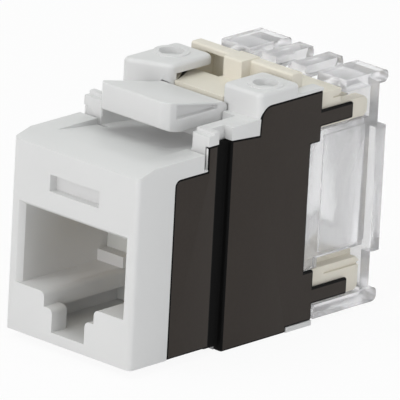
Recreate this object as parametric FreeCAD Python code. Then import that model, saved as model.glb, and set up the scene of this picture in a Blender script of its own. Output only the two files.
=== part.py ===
"""Keystone jack: an 8P8C snap-in socket with a rear press-on wire cap.

Build frame: x across (0 = middle), y back from the port face, z up from the
underside of the front block.  save() moves everything so that the origin is
the middle of the bounding box's base.  All sizes are millimetres.
"""
import FreeCAD, Part
import math
import os
from FreeCAD import Vector

os.makedirs("parts", exist_ok=True)

# ---------------------------------------------------------------- fits
seat_gap = 0.05            # inner pieces to the pocket that holds them
run_gap = 0.1              # between pieces that move past each other
cap_gap = 0.15             # cap to what it stops against when pressed home
cut_over = 1.0             # how far a cutter runs past the face that it opens

# ---------------------------------------------------------------- housing
housing_width = 14.5
housing_depth = 22.3
block_height = 17.4        # front block, up to its rim
bevel_depth = 2.0          # long bevel along the top of the port face
bevel_drop = 0.55
corner_radius = 0.45       # upright front corners
heel_drop = 0.75           # how far the rear body reaches below the front block
trough_wall = 1.3          # side walls of the rear body
trough_floor = 1.35
trough_lip = 0.45          # side walls above the carrier's top

# port, seen from the front
port_width = 11.8
port_height = 6.9
port_depth = 10.6
ledge_height = 4.3
ledge_thickness = 1.6
keyway_width = 5.8
keyway_floor = 3.0
slot_width = 3.8
slot_floor = 0.95
latch_bay_width = 8.8
face_wall = 1.8
ledge_round = 0.5
lead_in = 0.37
lead_in_depth = 0.5
stop_depth = 1.1           # plug stops at the back of the two ledges
stop_height = 1.0

# icon recess in the port face
icon_width = 5.7
icon_height = 1.5
icon_depth = 0.85
icon_base = 13.2

# top of the front block
rail_width = 2.05
rail_front = 8.4
rail_height = 19.15
rail_nose = 0.6
rail_nose_drop = 0.3
rail_corner = 0.25
slit_width = 0.45
slit_depth = 1.4
pocket_start = 3.0
pocket_depth = 1.2         # ramp pocket under the latch, at its deep end

# posts that hook over the terminal carrier; their fronts stand ahead of the sled's rear
post_width = 4.4
right_post_reach = 0.45
left_post_reach = 2.5      # the left post's outer corner stands further forward
inner_post_reach = 0.55
post_setback = 2.85        # rear of the posts to the rear of the housing
post_rise = 1.4            # top of the posts above the carrier
post_roof = 0.85
post_edge = 0.4
post_corner = 0.6
boss_radius = 1.55
boss_height = 0.1
dimple_radius = 1.1
dimple_depth = 0.6
dimple_inset = 1.8

# ---------------------------------------------------------------- latch arm
arm_width = 7.25
arm_front = 6.75
arm_tip_base = 18.9
arm_tip_top = 21.25
arm_corner = 0.6
knuckle_radius = 0.8
hinge_setback = 1.2        # hinge line to the rear of the contact sled
hinge_z = 19.15
belly_y = 9.9              # where the rounded underside runs level
panel_depth = 1.1          # sunk panel in each side of the arm
panel_start = 1.5
panel_end = 0.55
panel_lip = 0.25
panel_base = 0.35          # above the hinge line

# ---------------------------------------------------------------- contacts
contact_count = 8
contact_pitch = 1.02
wire_width = 0.35
wire_thickness = 0.3
contact_root_y = 3.0
contact_root_z = 11.75
contact_knuckle = 0.25
contact_bend_y = 9.2
contact_bend_z = 8.5
contact_tip_reach = 0.4    # tips run this far into the sled's comb
contact_tip_z = 8.2
lead_drop = 0.7
lead_front = 2.6

# sled that holds the contacts
sled_deck = 1.0
sled_deck_front = 2.9
sled_deck_width = 10.4
sled_block = 4.3
sled_roof_gap = 0.1
lead_height = 12.8
deck_base = 12.3
sled_recess_front = 2.0
comb_slot = 0.55
comb_depth = 1.6
comb_low = 7.3

# ---------------------------------------------------------------- circuit board
board_thickness = 1.2
board_margin = 0.95        # board above the upper row of terminals
board_hole = 0.5
pin_hole = 0.25

# ---------------------------------------------------------------- terminal carrier
carrier_tongue = 0.75
carrier_inset = 0.3        # rear face of its block, ahead of the housing's rear
shelf_length = 6.0
shelf_width = 13.7
shelf_front_gap = 0.1
shelf_chamfer = 0.35
lower_shelf_base = 1.1
lower_shelf_height = 3.9
lower_ledge_height = 3.0
upper_shelf_base = 16.7
upper_shelf_height = 1.75
crown_length = 2.65
crown_height = 3.1
carrier_step = 0.2         # carrier's top above the crown
crossbar_width = 11.7
crossbar_height = 1.7
crossbar_depth = 1.3
crossbar_setback = 1.2     # its rear to the rear of the housing
crossbar_round = 0.2
wedge_width = 2.1
wedge_reach = 1.1
wedge_rise = 0.15
hook_pocket_gap = 0.2      # pockets beside the wedge, for the posts' hooks
hook_pocket_width = 2.9
hook_pocket_depth = 1.8
hook_pocket_reach = 0.3
hook_pocket_roof = 0.5
side_line_height = 0.25    # shallow grooves along the shelves' sides
side_line_drop = 0.5
side_line_depth = 0.2
side_line_inset = 1.7
wire_slot_width = 1.2
wire_slot_depth = 3.1

# ---------------------------------------------------------------- terminals
terminal_count = 4         # in each row
terminal_pitch = 3.4
upper_terminal_rise = 0.85
lower_terminal_rise = 1.5
blade_width = 2.3
blade_thickness = 0.5
blade_inset = 0.6          # blade's shoulder behind the housing's rear
blade_setback = 0.7        # blade's tip ahead of the shelf's rear
fork_slot = 0.4
fork_depth = 2.4
fork_mouth = 1.0
tail_width = 0.6

# ---------------------------------------------------------------- side plate
plate_thickness = 0.4
plate_front = 4.5
plate_head = 15.85         # top edge beside the front block
plate_shoulder = 18.0      # top edge beside the rail
plate_waist = 17.75
plate_crown_drop = 0.25    # top edge below the rear body's walls
plate_lean = 0.15
plate_corner = 0.6
plate_bend = 1.2
plate_tail_rise = 0.45     # the rear end of the bottom edge is cut higher
plate_tail_length = 3.15
groove_front = 9.6
groove_width = 1.6
groove_depth = 0.55
channel_drop = 0.35        # how far the pressed channel reaches below the front block
notch_depth = 1.2          # rear notch that the cap's arms fill
notch_low_gap = 0.1
notch_high_gap = 1.1
upper_finger_length = 3.9
lower_finger_length = 4.3
finger_height = 1.45
lower_finger_rise = 0.05
upper_finger_rise = 0.25

# ---------------------------------------------------------------- wire cap
cap_wall = 1.3
cap_width = 14.0
cap_edge = 0.25
arm_thickness = 1.0
cap_panel_gap = 0.1        # window panel to the shelf below it
cap_panel_drop = 0.15
cap_panel_rise = 0.15
cap_panel_frame = 0.5
cap_panel_corner = 0.6
ear_reach = 0.8
ear_rise = 0.5
ear_overlap = 0.2
outer_fin_width = 3.3
inner_fin_width = 1.6
inner_fin_start = 0.9
upper_fin_lift = 0.95      # upper fins above the upper shelf, over the wires
upper_fin_height = 1.1
lower_fin_height = 1.25
upper_fin_reach = 3.35     # upper fins ahead of the cap's wall
lower_fin_inset = 0.2      # lower fins start just behind the housing
outer_fin_overhang = 0.6   # behind the cap's wall
inner_fin_overhang = 0.1
fin_nose = 0.5
cable_window_width = 7.6
cable_window_height = 7.6
comb_gap_depth = 2.0

# ---------------------------------------------------------------- derived places
half = housing_width / 2
through = 2 * housing_width    # longer than any cut that goes right through
port_ceiling = ledge_height + port_height
rail_inner = half - rail_width
post_inner = half - post_width
bay_half = half - trough_wall
bay_floor = trough_floor - heel_drop
sled_rear = port_depth + sled_block
sled_top = deck_base + sled_deck
recess_ceiling = sled_top + sled_roof_gap
hinge_y = sled_rear - hinge_setback
contact_tip_y = port_depth + contact_tip_reach
board_front = sled_rear + seat_gap
board_rear = board_front + board_thickness
carrier_front = board_rear + seat_gap
carrier_half = bay_half - seat_gap
carrier_back = housing_depth - carrier_inset
lower_shelf_top = lower_shelf_base + lower_shelf_height
lower_ledge_top = lower_shelf_base + lower_ledge_height
upper_shelf_top = upper_shelf_base + upper_shelf_height
crown_top = upper_shelf_base + crown_height
carrier_top = crown_top + carrier_step
upper_terminal_z = upper_shelf_base + upper_terminal_rise
lower_terminal_z = lower_shelf_base + lower_terminal_rise
board_top = upper_terminal_z + board_margin
trough_height = carrier_top + trough_lip
post_top = carrier_top + post_rise
post_rear = housing_depth - post_setback
dimple_y = (sled_rear - right_post_reach + post_rear) / 2
groove_rear = groove_front + groove_width
plate_crown = trough_height - plate_crown_drop
plate_rise_y = sled_rear - 2 * plate_lean
notch_front = housing_depth - notch_depth
notch_low = lower_ledge_top + notch_low_gap
notch_high = upper_shelf_base - notch_high_gap
lower_finger = lower_shelf_base + lower_finger_rise
upper_finger = upper_shelf_base + upper_finger_rise
shelf_front = housing_depth + shelf_front_gap
shelf_rear = housing_depth + shelf_length
shelf_half = shelf_width / 2
crown_rear = housing_depth + crown_length
blade_front = housing_depth + blade_inset
blade_rear = shelf_rear - blade_setback
crossbar_rear = housing_depth - crossbar_setback
crossbar_front = crossbar_rear - crossbar_depth
crossbar_top = carrier_top + crossbar_height
wedge_front = crossbar_front - wedge_reach
cap_front_face = shelf_rear + cap_gap
cap_rear = cap_front_face + cap_wall
fin_rear = cap_rear + outer_fin_overhang
cap_half = cap_width / 2
arm_inner = cap_half - arm_thickness
upper_fin_base = upper_shelf_top + upper_fin_lift
upper_fin_top = upper_fin_base + upper_fin_height
lower_fin_top = lower_shelf_base - run_gap
lower_fin_base = lower_fin_top - lower_fin_height
overall_depth = fin_rear
origin_shift = Vector(0, -overall_depth / 2, heel_drop)


# ---------------------------------------------------------------- helpers
def block(x0, x1, y0, y1, z0, z1):
    return Part.makeBox(x1 - x0, y1 - y0, z1 - z0, Vector(x0, y0, z0))


def centred(width, y0, y1, z0, z1):
    return block(-width / 2, width / 2, y0, y1, z0, z1)


def side_prism(outline, x0, x1):
    """Solid with a (y, z) outline, from x0 to x1."""
    points = [Vector(x0, y, z) for y, z in outline]
    face = Part.Face(Part.makePolygon(points + points[:1]))
    return face.extrude(Vector(x1 - x0, 0, 0))


def front_prism(outline, y0, y1):
    """Solid with an (x, z) outline, from y0 to y1."""
    points = [Vector(x, y0, z) for x, z in outline]
    face = Part.Face(Part.makePolygon(points + points[:1]))
    return face.extrude(Vector(0, y1 - y0, 0))


def plan_prism(outline, z0, z1):
    """Solid with an (x, y) outline, from z0 to z1."""
    points = [Vector(x, y, z0) for x, y in outline]
    face = Part.Face(Part.makePolygon(points + points[:1]))
    return face.extrude(Vector(0, 0, z1 - z0))


def mirrored(shape):
    return shape.mirror(Vector(0, 0, 0), Vector(1, 0, 0))


def both(shape):
    return [shape, mirrored(shape)]


def fused(shapes):
    return shapes[0].multiFuse(shapes[1:]).removeSplitter()


def edges_along(shape, axis, spots):
    """Straight edges along an axis ('x', 'y' or 'z') through the given spots.

    A spot gives the two other coordinates, in x, y, z order.
    """
    others = [name for name in "xyz" if name != axis]
    found = []
    for edge in shape.Edges:
        first, last = edge.Vertexes[0].Point, edge.Vertexes[-1].Point
        if abs(getattr(last - first, axis)) < 1e-6:
            continue
        for spot in spots:
            near = [abs(getattr(point, name) - value) < 1e-4
                    for point in (first, last) for name, value in zip(others, spot)]
            if all(near):
                found.append(edge)
    return found


def ribbon(path, thickness, x0, x1):
    """Flat wire that follows a (y, z) path, with mitred bends."""
    normals = []
    for (y0, z0), (y1, z1) in zip(path, path[1:]):
        length = math.hypot(y1 - y0, z1 - z0)
        normals.append((-(z1 - z0) / length, (y1 - y0) / length))
    sides = [normals[0]]
    for (a, b), (c, d) in zip(normals, normals[1:]):
        scale = 1 / (1 + a * c + b * d)
        sides.append(((a + c) * scale, (b + d) * scale))
    sides.append(normals[-1])
    reach = thickness / 2
    upper = [(y + reach * a, z + reach * b) for (y, z), (a, b) in zip(path, sides)]
    lower = [(y - reach * a, z - reach * b) for (y, z), (a, b) in zip(path, sides)]
    return side_prism(upper + lower[::-1], x0, x1)


def round_bar(x0, x1, y, z, radius):
    return Part.makeCylinder(radius, x1 - x0, Vector(x0, y, z), Vector(1, 0, 0))


def save(name, shape):
    placed = shape.copy()
    placed.translate(origin_shift)
    placed.exportStep(f"parts/{name}.step")


# ---------------------------------------------------------------- side plate
def plate_outline():
    rear = housing_depth
    upper_tip = housing_depth + upper_finger_length
    lower_tip = housing_depth + lower_finger_length
    tail = housing_depth - plate_tail_length
    return [
        (plate_front, 0),
        (plate_front, plate_head),
        (rail_front, plate_head),
        (rail_front, plate_shoulder),
        (groove_rear, plate_shoulder),
        (plate_rise_y, plate_waist),
        (plate_rise_y + plate_lean, plate_crown),
        (rear, plate_crown),
        (rear, upper_finger + finger_height),
        (upper_tip, upper_finger + finger_height),
        (upper_tip, upper_finger),
        (rear, upper_finger),
        (rear, notch_high),
        (notch_front, notch_high),
        (notch_front, notch_low),
        (rear, notch_low),
        (rear, lower_finger + finger_height),
        (lower_tip, lower_finger + finger_height),
        (lower_tip, lower_finger),
        (rear, lower_finger),
        (rear, plate_tail_rise - heel_drop),
        (tail, plate_tail_rise - heel_drop),
        (tail, -heel_drop),
        (groove_rear, -heel_drop),
        (groove_rear, -channel_drop),
        (groove_front, -channel_drop),
        (groove_front, 0),
    ]


def groove_space():
    """Open channel down the right-hand side, from the plate's outer face in."""
    return block(half - groove_depth, through, groove_front, groove_rear, -through, through)


def make_side_plate():
    """Right-hand plate: a flat sheet with one channel pressed into the housing."""
    inner = half - plate_thickness
    outline = plate_outline()
    sheet = side_prism(outline, inner, half)
    sheet = sheet.makeFillet(plate_corner, edges_along(sheet, "x", [(plate_front, plate_head)]))
    shoulder = edges_along(sheet, "x", [(plate_rise_y + plate_lean, plate_crown)])
    bend = min(plate_bend, (plate_crown - plate_waist) / 2)
    sheet = sheet.makeFillet(bend, shoulder)
    deep = side_prism(outline, inner - groove_depth, half)
    band = block(0, through, groove_front - plate_thickness, groove_rear + plate_thickness,
                 -through, through)
    return fused([sheet, deep.common(band)]).cut(groove_space())


# ---------------------------------------------------------------- housing
def front_block():
    outline = [(0, 0), (0, block_height - bevel_drop), (bevel_depth, block_height),
               (sled_rear, block_height), (sled_rear, 0)]
    body = side_prism(outline, -half, half)
    corners = edges_along(body, "z", [(-half, 0), (half, 0)])
    body = body.makeFillet(corner_radius, corners)
    ramp = side_prism([(pocket_start, block_height), (hinge_y, block_height - pocket_depth),
                       (hinge_y, through), (pocket_start, through)], -rail_inner, rail_inner)
    return body.cut(ramp)


def rail():
    """Right-hand rail beside the latch, with its lower nose."""
    low = block_height - pocket_depth
    nose_top = rail_height - rail_nose_drop
    outline = [(rail_front, low), (rail_front, nose_top), (rail_front + rail_nose, nose_top),
               (rail_front + rail_nose, rail_height), (sled_rear, rail_height), (sled_rear, low)]
    body = side_prism(outline, rail_inner, half)
    return body.makeFillet(rail_corner, edges_along(body, "z", [(rail_inner, rail_front)]))


def post(reach):
    """Right-hand post, rounded, whose rear half is a roof over the carrier.

    reach is how far its outer front corner stands ahead of the sled's rear.
    """
    outline = [(post_inner, sled_rear - inner_post_reach), (half, sled_rear - reach),
               (half, post_rear), (post_inner, post_rear)]
    body = plan_prism(outline, block_height, post_top)
    body = body.makeFillet(post_corner, edges_along(body, "z", outline))
    rim = [edge for edge in body.Edges if all(abs(v.Z - post_top) < 1e-6 for v in edge.Vertexes)]
    body = body.makeFillet(post_edge, rim)
    boss_centre = Vector(half - dimple_inset, dimple_y, post_top - post_roof / 2)
    boss = Part.makeCylinder(boss_radius, post_roof / 2 + boss_height, boss_centre)
    return body.fuse(boss)


def dimple():
    top = post_top + boss_height
    centre = Vector(half - dimple_inset, dimple_y, top - dimple_depth)
    return Part.makeCylinder(dimple_radius, dimple_depth + cut_over, centre)


def port_cutter():
    """Everything that a plug and its latch pass through, as one cutter."""
    w, k, s, b = port_width / 2, keyway_width / 2, slot_width / 2, latch_bay_width / 2
    under = ledge_height - ledge_thickness
    mouth = front_prism([(-w, ledge_height), (-k, ledge_height), (-k, keyway_floor),
                         (-s, keyway_floor), (-s, slot_floor), (s, slot_floor),
                         (s, keyway_floor), (k, keyway_floor), (k, ledge_height),
                         (w, ledge_height), (w, port_ceiling), (-w, port_ceiling)],
                        -cut_over, face_wall)
    inner_corners = [(-k, ledge_height), (k, ledge_height), (-s, keyway_floor), (s, keyway_floor)]
    mouth = mouth.makeFillet(ledge_round, edges_along(mouth, "y", inner_corners))
    bore = front_prism([(-w, ledge_height), (-k, ledge_height), (-k, under), (-b, under),
                        (-b, slot_floor), (b, slot_floor), (b, under), (k, under),
                        (k, ledge_height), (w, ledge_height), (w, port_ceiling),
                        (-w, port_ceiling)], face_wall, port_depth)
    ledge_corners = [(-k, ledge_height), (k, ledge_height)]
    bore = bore.makeFillet(ledge_round, edges_along(bore, "y", ledge_corners))
    return fused([mouth, bore])


def lead_in_cutter():
    """Flare at the port's mouth, on its two sides and its top."""
    rings = []
    for y, grow in ((0, lead_in), (lead_in_depth, 0)):
        w = port_width / 2 + grow
        low, high = ledge_height, port_ceiling + grow
        corners = [Vector(-w, y, low), Vector(w, y, low), Vector(w, y, high), Vector(-w, y, high)]
        rings.append(Part.makePolygon(corners + corners[:1]))
    return Part.makeLoft(rings, True, True)


def make_housing(plates):
    rear_body = block(-half, half, sled_rear, housing_depth, -heel_drop, trough_height)
    heel = block(-half, half, groove_rear, sled_rear, -heel_drop, block_height / 2)
    bulkhead = block(-rail_inner, rail_inner, hinge_y, sled_rear,
                     block_height - 2 * pocket_depth, hinge_z)
    posts = [post(right_post_reach), mirrored(post(left_post_reach))]
    body = fused([front_block(), rear_body, heel, bulkhead] + both(rail()) + posts)
    cuts = both(dimple())
    cuts += [port_cutter(), lead_in_cutter()]
    cuts.append(centred(icon_width, -cut_over, icon_depth, icon_base, icon_base + icon_height))
    # pockets for the sled: its deck over the port, its block behind the port
    sled_half = sled_deck_width / 2 + seat_gap
    cuts.append(block(-sled_half, sled_half, sled_recess_front, port_depth + cut_over,
                      port_ceiling - cut_over, recess_ceiling))
    cuts.append(block(-bay_half, bay_half, port_depth, sled_rear + cut_over,
                      slot_floor, recess_ceiling))
    # trough for the board and the carrier, open above between and behind the posts
    open_rear = housing_depth + cut_over
    cuts.append(block(-bay_half, bay_half, sled_rear, open_rear, bay_floor,
                      post_top - post_roof))
    cuts.append(block(-post_inner, post_inner, sled_rear, open_rear, bay_floor, through))
    cuts.append(block(-bay_half, bay_half, post_rear, open_rear, bay_floor, through))
    # round seat for the latch arm's root
    seat_half = arm_width / 2 + run_gap
    cuts.append(round_bar(-seat_half, seat_half, hinge_y, hinge_z, knuckle_radius + run_gap))
    slit = block(rail_inner - cut_over, half + cut_over, rail_front - slit_width, rail_front,
                 block_height - slit_depth, through)
    side_groove = block(half - groove_depth - plate_thickness, half + cut_over, groove_front,
                        groove_rear, plate_head, through)
    notch = block(bay_half - cut_over, half + cut_over, notch_front, open_rear,
                  notch_low, notch_high)
    cuts += both(slit) + both(side_groove) + both(groove_space()) + both(notch) + plates
    cuts += [tail_space(x, z) for x, z in terminal_places()]
    body = body.cut(cuts)
    stop = block(keyway_width / 2, port_width / 2, port_depth - stop_depth, port_depth,
                 ledge_height, ledge_height + stop_height)
    return fused([body] + both(stop))


# ---------------------------------------------------------------- latch arm
def make_latch_arm():
    """Latch tongue: round root, crowned underside and an upright catch face."""
    root_low = Vector(0, hinge_y, hinge_z - knuckle_radius)
    root_back = Vector(0, hinge_y + knuckle_radius, hinge_z)
    root_top = Vector(0, hinge_y, hinge_z + knuckle_radius)
    tip_top = Vector(0, arm_front, arm_tip_top)
    tip_low = Vector(0, arm_front, arm_tip_base)
    belly = Vector(0, belly_y, hinge_z - knuckle_radius)
    third = (belly_y - arm_front) / 3
    sag = (arm_tip_base - belly.z) / 4
    turn = Vector(0, arm_front + third, belly.z + sag)
    edges = [Part.Arc(root_low, root_back, root_top).toShape(),
             Part.LineSegment(root_top, tip_top).toShape(),
             Part.LineSegment(tip_top, tip_low).toShape(),
             Part.Arc(tip_low, turn, belly).toShape(),
             Part.LineSegment(belly, root_low).toShape()]
    face = Part.Face(Part.Wire(edges))
    face.translate(Vector(-arm_width / 2, 0, 0))
    arm = face.extrude(Vector(arm_width, 0, 0))
    tip_corners = [(-arm_width / 2, arm_front), (arm_width / 2, arm_front)]
    arm = arm.makeChamfer(arm_corner, edges_along(arm, "z", tip_corners))
    return arm.cut(both(side_panel()))


def side_panel():
    """Sunk panel in the arm's right side, under its sloping top."""
    slope = (arm_tip_top - root_height()) / (arm_front - hinge_y)
    front, rear = arm_front + panel_start, hinge_y - panel_end
    low = hinge_z + panel_base
    high = [root_height() + slope * (y - hinge_y) - panel_lip for y in (front, rear)]
    outline = [(front, low), (rear, low), (rear, high[1]), (front, high[0])]
    return side_prism(outline, arm_width / 2 - panel_depth, through)


def root_height():
    return hinge_z + knuckle_radius


# ---------------------------------------------------------------- contacts and sled
def contact_places():
    first = -(contact_count - 1) * contact_pitch / 2
    return [first + contact_pitch * index for index in range(contact_count)]


def make_contact(x):
    """Free arm of one spring wire, from its front root to its tip in the comb."""
    x0, x1 = x - wire_width / 2, x + wire_width / 2
    path = [(contact_root_y, contact_root_z), (contact_bend_y, contact_bend_z),
            (contact_tip_y, contact_tip_z)]
    arm = ribbon(path, wire_thickness, x0, x1)
    knuckle = round_bar(x0, x1, contact_root_y, contact_root_z, contact_knuckle)
    return fused([arm, knuckle])


def make_lead(x):
    """Fixed end of one spring wire: down-turned nose, deck run and board tail."""
    path = [(lead_front, lead_height - lead_drop), (lead_front, lead_height),
            (board_rear, lead_height)]
    return ribbon(path, wire_thickness, x - wire_width / 2, x + wire_width / 2)


def make_sled(leads):
    deck = centred(sled_deck_width, sled_deck_front, port_depth, deck_base, sled_top)
    wide = 2 * (bay_half - seat_gap)
    rear = centred(wide, port_depth, sled_rear, slot_floor + seat_gap, sled_top)
    body = fused([deck, rear])
    comb_high = deck_base - sled_deck
    slots = [block(x - comb_slot / 2, x + comb_slot / 2, port_depth - cut_over,
                   port_depth + comb_depth, comb_low, comb_high) for x in contact_places()]
    return body.cut(slots + leads)


# ---------------------------------------------------------------- terminals and board
def terminal_places():
    """(x, z) of each terminal: the lower row, then the upper row."""
    first = -(terminal_count - 1) * terminal_pitch / 2
    columns = [first + index * terminal_pitch for index in range(terminal_count)]
    rows = [lower_terminal_z, upper_terminal_z]
    return [(x, z) for z in rows for x in columns]


def make_terminal(x, z):
    """Forked blade that strips the wire pushed into it, with a board tail."""
    z0, z1 = z - blade_thickness / 2, z + blade_thickness / 2
    w, t, s, m = blade_width / 2, tail_width / 2, fork_slot / 2, fork_mouth / 2
    neck = blade_front
    root = blade_rear - fork_depth
    mouth = blade_rear - (m - s)
    outline = [(x - t, board_front), (x + t, board_front), (x + t, neck), (x + w, neck),
               (x + w, blade_rear), (x + m, blade_rear), (x + s, mouth), (x + s, root),
               (x - s, root), (x - s, mouth), (x - m, blade_rear), (x - w, blade_rear),
               (x - w, neck), (x - t, neck)]
    return plan_prism(outline, z0, z1)


def make_board():
    board = block(-carrier_half, carrier_half, board_front, board_rear,
                  bay_floor + seat_gap, board_top)
    drills = [Part.makeCylinder(board_hole, through, Vector(x, 0, z), Vector(0, 1, 0))
              for x, z in terminal_places()]
    drills += [Part.makeCylinder(pin_hole, through, Vector(x, 0, lead_height),
                                 Vector(0, 1, 0)) for x in contact_places()]
    return board.cut(drills)


# ---------------------------------------------------------------- carrier
def make_carrier():
    """Cream carrier: block behind the board, tongue over it, two wire shelves."""
    main = block(-carrier_half, carrier_half, carrier_front, carrier_back,
                 bay_floor + seat_gap, carrier_top)
    tongue = block(-carrier_half, carrier_half, sled_rear + seat_gap, carrier_front,
                   board_top + seat_gap, carrier_top)
    lip = block(-post_inner + seat_gap, post_inner - seat_gap,
                hinge_y + knuckle_radius + cap_gap, sled_rear + seat_gap,
                carrier_top - carrier_tongue, carrier_top)
    joiner = block(-carrier_half, carrier_half, carrier_back, shelf_front,
                   upper_shelf_base, crown_top)
    low_joiner = block(-carrier_half, carrier_half, carrier_back, shelf_front,
                       lower_shelf_base, lower_shelf_top)
    crown = block(-shelf_half, shelf_half, shelf_front, crown_rear, upper_shelf_base, crown_top)
    lower_mid = block(-carrier_half, carrier_half, shelf_front, shelf_rear,
                      lower_shelf_base, lower_shelf_top)
    pieces = [main, tongue, lip, joiner, low_joiner, crown, lower_mid, crossbar()]
    pieces.append(shelf(upper_shelf_base, upper_shelf_top))
    pieces.append(shelf(lower_shelf_base, lower_ledge_top))
    cuts = hook_pockets()
    for x, z in terminal_places():
        cuts += terminal_space(x, z)
    for top in (crown_top, lower_ledge_top):
        line = block(shelf_half - side_line_depth, through, housing_depth + side_line_inset,
                     through, top - side_line_drop - side_line_height, top - side_line_drop)
        cuts += both(line)
    return fused(pieces).cut(cuts)


def shelf(base, top):
    """Wire shelf behind the housing, with a chamfer along its two rear edges."""
    body = block(-shelf_half, shelf_half, shelf_front, shelf_rear, base, top)
    rear_edges = edges_along(body, "x", [(shelf_rear, base), (shelf_rear, top)])
    return body.makeChamfer(shelf_chamfer, rear_edges)


def crossbar():
    """Bar across the carrier's top, with a wedge that reaches forward in its middle."""
    bar = centred(crossbar_width, crossbar_front, crossbar_rear,
                  carrier_top - carrier_tongue, crossbar_top)
    rounded = edges_along(bar, "x", [(crossbar_front, crossbar_top), (crossbar_rear, crossbar_top)])
    bar = bar.makeFillet(crossbar_round, rounded)
    wedge = centred(wedge_width, wedge_front, crossbar_rear - crossbar_round,
                    carrier_top - carrier_tongue, crossbar_top + wedge_rise)
    edge = edges_along(wedge, "x", [(wedge_front, crossbar_top + wedge_rise)])
    return fused([bar, wedge.makeFillet(crossbar_round, edge)])


def hook_pockets():
    """Wells beside the wedge; the left one runs on under the crossbar."""
    inner = wedge_width / 2 + hook_pocket_gap
    outer = inner + hook_pocket_width
    floor = carrier_top - hook_pocket_depth
    front = wedge_front - hook_pocket_reach
    right = block(inner, outer, front, crossbar_front, floor, carrier_top)
    left = block(-outer, -inner, front, crossbar_rear - hook_pocket_reach, floor,
                 crossbar_top - hook_pocket_roof)
    return [right, left]


def tail_space(x, z):
    """Room for one terminal's tail, from the board back to its blade."""
    side, rise = tail_width / 2 + seat_gap, blade_thickness / 2 + seat_gap
    return block(x - side, x + side, sled_rear, blade_front, z - rise, z + rise)


def terminal_space(x, z):
    """Cuts for one terminal: its blade, its tail and the slot its wire drops into."""
    side, rise = blade_width / 2 + seat_gap, blade_thickness / 2 + seat_gap
    low, high = upper_shelf_base - cut_over, carrier_top
    if z == lower_terminal_z:
        low, high = 0, lower_shelf_top + cut_over
    blade = block(x - side, x + side, blade_front - seat_gap, blade_rear + seat_gap,
                  z - rise, z + rise)
    slot = block(x - wire_slot_width / 2, x + wire_slot_width / 2,
                 shelf_rear - wire_slot_depth, shelf_rear + cut_over, low, high)
    return [blade, tail_space(x, z), slot]


# ---------------------------------------------------------------- wire cap
def fin_spans():
    """x range and rear end of each of the four comb fins, left to right."""
    inner = (inner_fin_start, inner_fin_start + inner_fin_width)
    outer = (half - outer_fin_width, half)
    inner_rear = cap_rear + inner_fin_overhang
    return [(-outer[1], -outer[0], fin_rear), (-inner[1], -inner[0], inner_rear),
            inner + (inner_rear,), outer + (fin_rear,)]


def fin(x0, x1, y0, y1, base, top):
    """One comb fin with a rounded rear end."""
    bar = block(x0, x1, y0, y1, base, top)
    return bar.makeFillet(fin_nose, edges_along(bar, "x", [(y1, base), (y1, top)]))


def cap_arm():
    """Right-hand arm: flange in the housing's notch, window panel and grip ear."""
    panel_front = housing_depth + run_gap / 2
    panel_low = lower_shelf_top + cap_panel_gap
    panel_high = upper_shelf_base - cap_panel_drop
    frame_front = panel_front + cap_panel_frame
    flange = block(arm_inner, cap_half, notch_front + cap_gap, frame_front,
                   notch_low + run_gap / 2, notch_high - run_gap / 2)
    panel = block(arm_inner, cap_half, panel_front, cap_front_face, panel_low, panel_high)
    upper_front = edges_along(panel, "x", [(panel_front, panel_high)])
    panel = panel.makeFillet(cap_panel_corner, upper_front)
    raised = block(arm_inner, cap_half + cap_panel_rise, frame_front, cap_front_face,
                   panel_low + cap_panel_frame, panel_high - cap_panel_frame)
    ear = block(arm_inner, half + ear_reach, cap_front_face, cap_rear,
                notch_low + ear_rise, notch_high + ear_overlap)
    tips = [(half + ear_reach, cap_front_face), (half + ear_reach, cap_rear)]
    ear = ear.makeFillet(ear_reach / 2, edges_along(ear, "z", tips))
    return [flange, panel, raised, ear]


def make_cap():
    """Clear press-on cap: comb fins above and below, two side arms, cable window."""
    wall = block(-cap_half, cap_half, cap_front_face, cap_rear, lower_fin_base, upper_fin_top)
    upright = edges_along(wall, "z", [(-cap_half, cap_rear), (cap_half, cap_rear)])
    pieces = [wall.makeFillet(cap_edge, upright)]
    upper_front = cap_front_face - upper_fin_reach
    lower_front = housing_depth + lower_fin_inset
    for x0, x1, rear in fin_spans():
        pieces.append(fin(x0, x1, upper_front, rear, upper_fin_base, upper_fin_top))
        pieces.append(fin(x0, x1, lower_front, rear, lower_fin_base, lower_fin_top))
    for piece in cap_arm():
        pieces += both(piece)
    middle = (lower_fin_base + upper_fin_top) / 2
    front, rear = cap_front_face - cut_over, fin_rear + cut_over
    cuts = [centred(cable_window_width, front, rear,
                    middle - cable_window_height / 2, middle + cable_window_height / 2)]
    spans = fin_spans()
    for (_, x0, _), (x1, _, _) in zip(spans, spans[1:]):
        cuts.append(block(x0, x1, front, rear, upper_fin_base - comb_gap_depth, through))
        cuts.append(block(x0, x1, front, rear, -through, lower_fin_top + comb_gap_depth))
    return fused(pieces).cut(cuts)


# ---------------------------------------------------------------- make and save
right_plate = make_side_plate()
left_plate = mirrored(right_plate)
leads = [make_lead(x) for x in contact_places()]

save("front_housing", make_housing([right_plate, left_plate]))
save("latch_arm", make_latch_arm())
save("side_plate_right", right_plate)
save("side_plate_left", left_plate)
save("contact_sled", make_sled(leads))
save("contact_leads", Part.Compound(leads))
for number, place in enumerate(contact_places(), 1):
    save(f"contact_{number}", make_contact(place))
save("circuit_board", make_board())
save("idc_carrier", make_carrier())
for number, (place_x, place_z) in enumerate(terminal_places(), 1):
    save(f"idc_terminal_{number}", make_terminal(place_x, place_z))
save("wire_cap", make_cap())
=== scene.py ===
"""Keystone jack: softened mouldings, finishes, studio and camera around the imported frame.

Everything is in metres, in the frame's own axes: +Y back from the port face,
+Z up, +X to the right.  Sizes below that end in _mm are millimetres.
"""
import math

import bpy
from mathutils import Matrix, Vector


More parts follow.
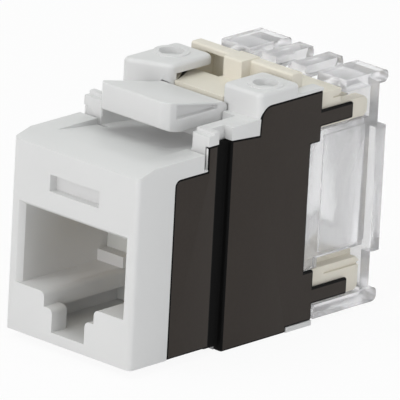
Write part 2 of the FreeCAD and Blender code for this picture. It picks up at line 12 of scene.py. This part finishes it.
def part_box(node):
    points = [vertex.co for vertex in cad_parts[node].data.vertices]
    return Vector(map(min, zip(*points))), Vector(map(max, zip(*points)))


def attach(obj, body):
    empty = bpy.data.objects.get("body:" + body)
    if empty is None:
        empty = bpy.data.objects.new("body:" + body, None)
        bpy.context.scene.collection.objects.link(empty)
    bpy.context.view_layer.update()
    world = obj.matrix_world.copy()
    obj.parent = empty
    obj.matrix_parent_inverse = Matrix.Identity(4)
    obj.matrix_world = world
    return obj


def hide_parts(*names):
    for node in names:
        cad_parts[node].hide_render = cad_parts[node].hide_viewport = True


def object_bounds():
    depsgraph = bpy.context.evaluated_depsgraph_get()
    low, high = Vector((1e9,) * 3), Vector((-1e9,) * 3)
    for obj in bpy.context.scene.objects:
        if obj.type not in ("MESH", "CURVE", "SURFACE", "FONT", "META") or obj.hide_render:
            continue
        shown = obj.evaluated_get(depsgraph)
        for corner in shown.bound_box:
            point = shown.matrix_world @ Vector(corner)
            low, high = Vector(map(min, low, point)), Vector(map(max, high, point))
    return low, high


MM = 0.001

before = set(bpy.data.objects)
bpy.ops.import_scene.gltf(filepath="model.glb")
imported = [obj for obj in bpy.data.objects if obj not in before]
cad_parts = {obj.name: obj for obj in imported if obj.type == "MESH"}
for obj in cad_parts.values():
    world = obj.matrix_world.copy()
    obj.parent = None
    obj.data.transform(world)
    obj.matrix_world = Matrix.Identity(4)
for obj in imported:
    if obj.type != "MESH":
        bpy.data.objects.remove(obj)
cad_box = [list(corner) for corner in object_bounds()]

# ---------------------------------------------------------------- driving values
view_azimuth = 42.5          # degrees round from the port face towards +X
view_elevation = 18.6
view_roll = 3.0              # the top of the jack leans to the right
view_distance = 1.0
view_width = 33.73 * MM      # width of the picture at the aim point
aim_across = 0.21 * MM       # aim point, from the middle of the jack's box
aim_up = -0.52 * MM

bevel_mm = {"front_housing": 0.12, "latch_arm": 0.14, "idc_carrier": 0.09, "wire_cap": 0.12,
            "side_plate": 0.19, "contact_sled": 0.06, "contact": 0.05, "idc_terminal": 0.05}
sharp_angle = math.radians(28)
arm_widening = 0.65 * MM     # the arm's left side stands further out than its right
arm_root_length = 2.0 * MM   # the arm keeps its width over this length at its root
arm_panel_depth = 0.55 * MM
panel_floor = 2.9 * MM       # only the floors of the arm's panels lie nearer the middle
edge_band = 0.1 * MM         # what lies this near a plane counts as in it
rail_foot = 16.9 * MM        # height of the rails' feet, beside the front block's top
# end faces ahead of the rail that face forward past these limits take the white; the others keep
# the painted shade
lapped_facing = -0.3         # in the lapped rail, the plate's slanted end faces count too
open_facing = -0.95          # in the other rail, only its square front end does

merge_gap = 1e-7             # corners nearer than this are one
flat_angle = math.radians(0.6)
smooth_angle = math.radians(35)
bevel_steps = 3

# heights of the surface textures, in metres
moulded_grain = 0.000006
flow_depth = 0.00002
plate_grain = 0.000008
streak_depth = 0.000004

room_light = 0.22            # what the white room adds to every face
floor_grey = 0.9
floor_glow = 0.92            # how much of the floor's look is plain white to the view
floor_size = 3.0
lamp_distance = 0.75
sensor_width = 36.0          # millimetres, as the camera has it
view_near = 0.01
view_far = 20.0


# ---------------------------------------------------------------- shader maths
class Signal:
    """A socket that can be reckoned with: each operator adds one Math node."""

    def __init__(self, finish, socket):
        self.finish = finish
        self.socket = socket

    def _math(self, operation, first, second=0.0, clamp=False):
        return self.finish.add("ShaderNodeMath", {"operation": operation, "use_clamp": clamp},
                               {0: first, 1: second})

    def __add__(self, other):
        return self._math("ADD", self, other)

    __radd__ = __add__

    def __mul__(self, other):
        return self._math("MULTIPLY", self, other)

    __rmul__ = __mul__

    def __sub__(self, other):
        return self._math("SUBTRACT", self, other)

    def __rsub__(self, other):
        return self._math("SUBTRACT", other, self)

    def held(self):
        return self._math("ADD", self, 0.0, clamp=True)


class Finish:
    """One material, built node by node around a Principled shader."""

    def __init__(self, name, tree=None):
        if tree is None:
            self.material = bpy.data.materials.new(name)
            self.material.use_nodes = True
            tree = self.material.node_tree
            output = "ShaderNodeOutputMaterial"
        else:
            output = "ShaderNodeOutputWorld"
        self.tree = tree
        self.tree.nodes.clear()
        self.output = self.tree.nodes.new(output)
        self.place = self.add("ShaderNodeTexCoord", {}, {}, out="Object")

    def add(self, kind, settings, inputs, out=0):
        """Adds a node, its settings first, then the values or links of its inputs."""
        node = self.tree.nodes.new(kind)
        for name, value in settings.items():
            setattr(node, name, value)
        for key, value in inputs.items():
            target = node.inputs[key]
            if isinstance(value, Signal):
                self.tree.links.new(value.socket, target)
            else:
                target.default_value = value
        return Signal(self, node.outputs[out])

    def noise(self, scale, detail=2.0, rough=0.5):
        """Noise about its own middle, from -0.5 to 0.5, at a scale per metre."""
        value = self.add("ShaderNodeTexNoise", {},
                         {"Vector": self.place, "Scale": scale, "Detail": detail,
                          "Roughness": rough}, out="Fac")
        return value - 0.5

    def tint(self, factor, first, second):
        return self.add("ShaderNodeMix", {"data_type": "RGBA"},
                        {0: factor, 6: (*first, 1), 7: (*second, 1)}, out=2)

    def relief(self, height, depth):
        return self.add("ShaderNodeBump", {}, {"Height": height, "Distance": depth,
                                               "Strength": 1.0}, out="Normal")

    def shader(self, **inputs):
        named = {key.replace("_", " "): value for key, value in inputs.items()}
        surface = self.add("ShaderNodeBsdfPrincipled", {}, named)
        self.tree.links.new(surface.socket, self.output.inputs["Surface"])
        return self.material


def moulded_plastic(name, colour, shade, roughness):
    """Satin moulding: cloudy colour, uneven gloss and a fine tool texture."""
    finish = Finish(name)
    cloud = finish.noise(180.0, 3.0)
    fine = finish.noise(5200.0, 2.0)
    swirl = finish.noise(900.0, 4.0, 0.6)
    colour_mix = finish.tint((cloud * 0.9 + swirl * 0.5 + 0.5).held(), shade, colour)
    gloss = (roughness + swirl * 0.10 + fine * 0.08).held()
    relief = finish.relief(fine + swirl * 0.8, moulded_grain)
    return finish.shader(Base_Color=colour_mix, Roughness=gloss, Normal=relief)


def clear_plastic(name):
    """Clear moulding gone milky, with faint flow marks."""
    finish = Finish(name)
    flow = finish.noise(260.0, 3.0, 0.6)
    fine = finish.noise(3000.0, 2.0)
    tone = finish.tint((flow * 0.8 + 0.5).held(), (0.83, 0.83, 0.84), (0.91, 0.91, 0.92))
    gloss = (0.17 + flow * 0.08 + fine * 0.03).held()
    relief = finish.relief(flow + fine * 0.2, flow_depth)
    return finish.shader(Base_Color=tone, Roughness=gloss, Normal=relief,
                         Transmission_Weight=0.82, IOR=1.49)


def dark_plate_finish(name):
    """Matt dark brown of the side plates, with a fine grain."""
    finish = Finish(name)
    fine = finish.noise(3800.0, 3.0, 0.6)
    cloud = finish.noise(240.0, 2.0)
    face = finish.tint((fine * 0.9 + cloud * 0.7 + 0.5).held(), (0.030, 0.024, 0.020),
                       (0.042, 0.035, 0.030))
    gloss = (0.58 + fine * 0.12 + cloud * 0.10).held()
    return finish.shader(Base_Color=face, Roughness=gloss,
                         Normal=finish.relief(fine, plate_grain), Specular_IOR_Level=0.15)


def edge_shade_finish(name):
    """Near-black painted shade for the plates' edges and pressed channel, standing in for the
    shadow in the gaps round the plates and down the channel.
    """
    finish = Finish(name)
    cloud = finish.noise(900.0, 2.0)
    tone = finish.tint((cloud + 0.5).held(), (0.0035, 0.0035, 0.0035), (0.007, 0.007, 0.007))
    return finish.shader(Base_Color=tone, Roughness=(0.6 + cloud * 0.2).held(),
                         Specular_IOR_Level=0.05)


def plated_metal(name, colour, shade, roughness):
    """Plated spring wire or blade: streaks of gloss along its length."""
    finish = Finish(name)
    streak = finish.noise(2500.0, 3.0, 0.6)
    cloud = finish.noise(600.0)
    tone = finish.tint((streak * 0.6 + cloud * 0.6 + 0.5).held(), shade, colour)
    return finish.shader(Base_Color=tone, Metallic=1.0,
                         Roughness=(roughness + streak * 0.15).held(),
                         Normal=finish.relief(streak, streak_depth))


def board_finish(name):
    """Green solder mask with a fibre weave just showing."""
    finish = Finish(name)
    weave = finish.add("ShaderNodeTexWave", {"bands_direction": "X"},
                       {"Vector": finish.place, "Scale": 900.0, "Distortion": 2.0}, out="Fac")
    tone = finish.tint((weave * 0.5 + finish.noise(700.0) * 0.6).held(),
                       (0.012, 0.10, 0.035), (0.02, 0.17, 0.06))
    return finish.shader(Base_Color=tone, Roughness=0.35)


# ---------------------------------------------------------------- meshes
def only(piece):
    """Makes one object the only selected and the active one."""
    bpy.ops.object.select_all(action="DESELECT")
    piece.select_set(True)
    bpy.context.view_layer.objects.active = piece


def softened(node, body, finishes, edge, reshape=None):
    """A merged copy of a CAD node with small rounded edges, standing in for it."""
    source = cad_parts[node]
    piece = bpy.data.objects.new(node + ".moulded", source.data.copy())
    bpy.context.scene.collection.objects.link(piece)
    piece.matrix_world = source.matrix_world.copy()
    only(piece)
    bpy.ops.object.transform_apply(location=True, rotation=True, scale=True)
    bpy.ops.object.mode_set(mode="EDIT")
    bpy.ops.mesh.select_all(action="SELECT")
    bpy.ops.mesh.remove_doubles(threshold=merge_gap)
    bpy.ops.mesh.dissolve_limited(angle_limit=flat_angle)
    bpy.ops.object.mode_set(mode="OBJECT")
    piece.data.materials.clear()
    for finish in finishes:
        piece.data.materials.append(finish)
    for face in piece.data.polygons:
        face.material_index = 0
    if reshape:
        reshape(piece)
    bevel = piece.modifiers.new("soft_edges", "BEVEL")
    bevel.width = edge * MM
    bevel.segments = bevel_steps
    bevel.limit_method = "ANGLE"
    bevel.angle_limit = sharp_angle
    bevel.use_clamp_overlap = True
    # on the side plates the second finish is the near-black painted shade, so their rounds carry
    # a painted shadow line
    bevel.material = min(len(finishes), 2) - 1    # rounds take the second finish, if any
    bpy.ops.object.modifier_apply(modifier=bevel.name)
    bpy.ops.object.shade_smooth_by_angle(angle=smooth_angle)
    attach(piece, body)
    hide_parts(node)
    return piece


def reshape_arm(arm):
    """Carries the arm's left side out, ahead of the left post, and makes its panels shallower."""
    high = Vector(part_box("latch_arm")[1])
    root_front = high.y - arm_root_length
    bpy.ops.object.mode_set(mode="EDIT")
    bpy.ops.mesh.bisect(plane_co=(0, root_front, 0), plane_no=(0, 1, 0))
    bpy.ops.object.mode_set(mode="OBJECT")
    for vertex in arm.data.vertices:
        place = vertex.co
        if abs(place.x) < panel_floor:
            place.x = math.copysign(high.x - arm_panel_depth, place.x)
        if place.x < -panel_floor and place.y < root_front - edge_band:
            place.x -= arm_widening


def finish_plate(plate, lapped):
    """Paints near-black shade on what lies behind the outer face (edges and channel); the end in
    the rail takes the rail's finish.
    """
    facing = lapped_facing if lapped else open_facing
    outer = max(abs(vertex.co.x) for vertex in plate.data.vertices)
    rail_front = min(vertex.co.y for vertex in plate.data.vertices
                     if vertex.co.z > rail_foot + edge_band)
    for face in plate.data.polygons:
        # painted shade: edges and the channel's inside take the near-black finish
        if abs(face.center.x) < outer - edge_band:
            face.material_index = 1
        ahead = face.center.y < rail_front + edge_band and face.center.z > rail_foot
        if ahead and face.normal.y < facing:
            face.material_index = 2


def dress(node, finish):
    """Gives a CAD node its finish."""
    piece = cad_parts[node]
    piece.data.materials.clear()
    piece.data.materials.append(finish)


# ---------------------------------------------------------------- finishes
white = moulded_plastic("white_moulding", (0.74, 0.74, 0.735), (0.71, 0.712, 0.71), 0.42)
sled_white = moulded_plastic("sled_moulding", (0.74, 0.75, 0.73), (0.68, 0.69, 0.67), 0.45)
cream = moulded_plastic("cream_moulding", (0.815, 0.775, 0.685), (0.77, 0.725, 0.615), 0.45)
clear = clear_plastic("clear_moulding")
gold = plated_metal("gold_plate", (0.95, 0.70, 0.28), (0.80, 0.55, 0.20), 0.22)
tin = plated_metal("bright_tin", (0.78, 0.77, 0.74), (0.62, 0.61, 0.58), 0.30)
green = board_finish("board_mask")

plate_face = dark_plate_finish("dark_plate_face")
# near-black painted shade for the plates' edges, rounds and channel
edge_shade = edge_shade_finish("painted_shade_plate_edge")

softened("front_housing", "jack", [white], bevel_mm["front_housing"])
softened("latch_arm", "latch", [white], bevel_mm["latch_arm"],
         reshape_arm)
softened("idc_carrier", "jack", [cream], bevel_mm["idc_carrier"])
softened("wire_cap", "cap", [clear], bevel_mm["wire_cap"])
softened("contact_sled", "jack", [sled_white], bevel_mm["contact_sled"])
for side in ("right", "left"):
    # the plates' rounds and inner faces take the near-black painted shade; their ends in the rail
    # take the white
    plate = softened("side_plate_" + side, "jack",
                     [plate_face, edge_shade, white], bevel_mm["side_plate"])
    finish_plate(plate, side == "left")
dress("circuit_board", green)
dress("contact_leads", gold)
for number in range(1, 9):
    softened(f"contact_{number}", "contacts", [gold], bevel_mm["contact"])
    softened(f"idc_terminal_{number}", "jack", [tin], bevel_mm["idc_terminal"])


# ---------------------------------------------------------------- camera
def turned(azimuth, elevation, roll):
    """Camera axes: right, up and back, for a view from the front right."""
    az, el, ro = (math.radians(value) for value in (azimuth, elevation, roll))
    back = Vector((math.sin(az) * math.cos(el), -math.cos(az) * math.cos(el), math.sin(el)))
    level_right = Vector((math.cos(az), math.sin(az), 0))
    level_up = back.cross(level_right)
    right = level_right * math.cos(ro) + level_up * math.sin(ro)
    up = level_up * math.cos(ro) - level_right * math.sin(ro)
    return right, up, back


def make_camera():
    right, up, back = turned(view_azimuth, view_elevation, view_roll)
    low, high = (Vector(corner) for corner in cad_box)
    aim = (low + high) / 2 + right * aim_across + up * aim_up
    data = bpy.data.cameras.new("view")
    data.sensor_width = sensor_width
    data.lens = data.sensor_width * view_distance / view_width
    data.clip_start = view_near
    data.clip_end = view_far
    camera = bpy.data.objects.new("view", data)
    bpy.context.scene.collection.objects.link(camera)
    turn = Matrix((right, up, back)).transposed()
    camera.matrix_world = Matrix.Translation(aim + back * view_distance) @ turn.to_4x4()
    bpy.context.scene.camera = camera


# ---------------------------------------------------------------- studio
def plain_to_view(finish):
    """1 for the rays that see the backdrop: straight, in gloss or through clear plastic."""
    path = finish.tree.nodes.new("ShaderNodeLightPath")
    seen = Signal(finish, path.outputs["Is Camera Ray"])
    seen = seen + Signal(finish, path.outputs["Is Glossy Ray"])
    return (seen + Signal(finish, path.outputs["Is Transmission Ray"])).held()


def make_floor():
    finish = Finish("white_floor")
    lit = finish.add("ShaderNodeBsdfDiffuse", {},
                     {"Color": (floor_grey, floor_grey, floor_grey, 1)})
    glow = finish.add("ShaderNodeEmission", {}, {"Color": (1, 1, 1, 1), "Strength": 1.0})
    blend = finish.add("ShaderNodeMixShader", {},
                       {0: plain_to_view(finish) * floor_glow, 1: lit, 2: glow})
    finish.tree.links.new(blend.socket, finish.output.inputs["Surface"])
    bpy.ops.object.select_all(action="DESELECT")
    bpy.ops.mesh.primitive_plane_add(size=floor_size, location=(0, 0, 0))
    floor = bpy.context.object
    floor.name = "floor"
    floor.data.materials.append(finish.material)


def make_world():
    """White room: dim to the surfaces it lights, plain white in gloss and behind the jack."""
    world = bpy.data.worlds.new("studio")
    bpy.context.scene.world = world
    world.use_nodes = True
    finish = Finish("studio_walls", world.node_tree)
    glow = finish.add("ShaderNodeBackground", {},
                      {"Color": (1, 1, 1, 1),
                       "Strength": room_light + plain_to_view(finish) * (1 - room_light)})
    finish.tree.links.new(glow.socket, finish.output.inputs["Surface"])


def softbox(name, azimuth, elevation, size, power, colour):
    """Square area lamp at an angle round from the port face, looking at the jack."""
    data = bpy.data.lights.new(name, "AREA")
    data.shape = "SQUARE"
    data.size = size
    data.energy = power
    data.color = colour
    lamp = bpy.data.objects.new(name, data)
    bpy.context.scene.collection.objects.link(lamp)
    across, up, towards = turned(azimuth, elevation, 0)
    lamp.matrix_world = (Matrix.Translation(towards * lamp_distance)
                         @ Matrix((across, up, towards)).transposed().to_4x4())


make_camera()
make_floor()
make_world()
softbox("front_box", -12, 29, 0.50, 1.36, (1.0, 0.98, 0.995))
softbox("low_front_box", 14, 4, 0.40, 1.90, (1.0, 0.985, 0.99))
softbox("right_box", 98, 18, 0.50, 1.25, (0.96, 0.96, 1.0))
softbox("top_box", 0, 82, 0.80, 2.85, (0.955, 1.0, 0.975))
softbox("back_box", 172, 12, 0.50, 0.7, (1.0, 1.0, 1.0))
softbox("left_box", 265, 12, 0.50, 0.6, (1.0, 1.0, 1.0))

scene = bpy.context.scene
scene.view_settings.view_transform = "Standard"
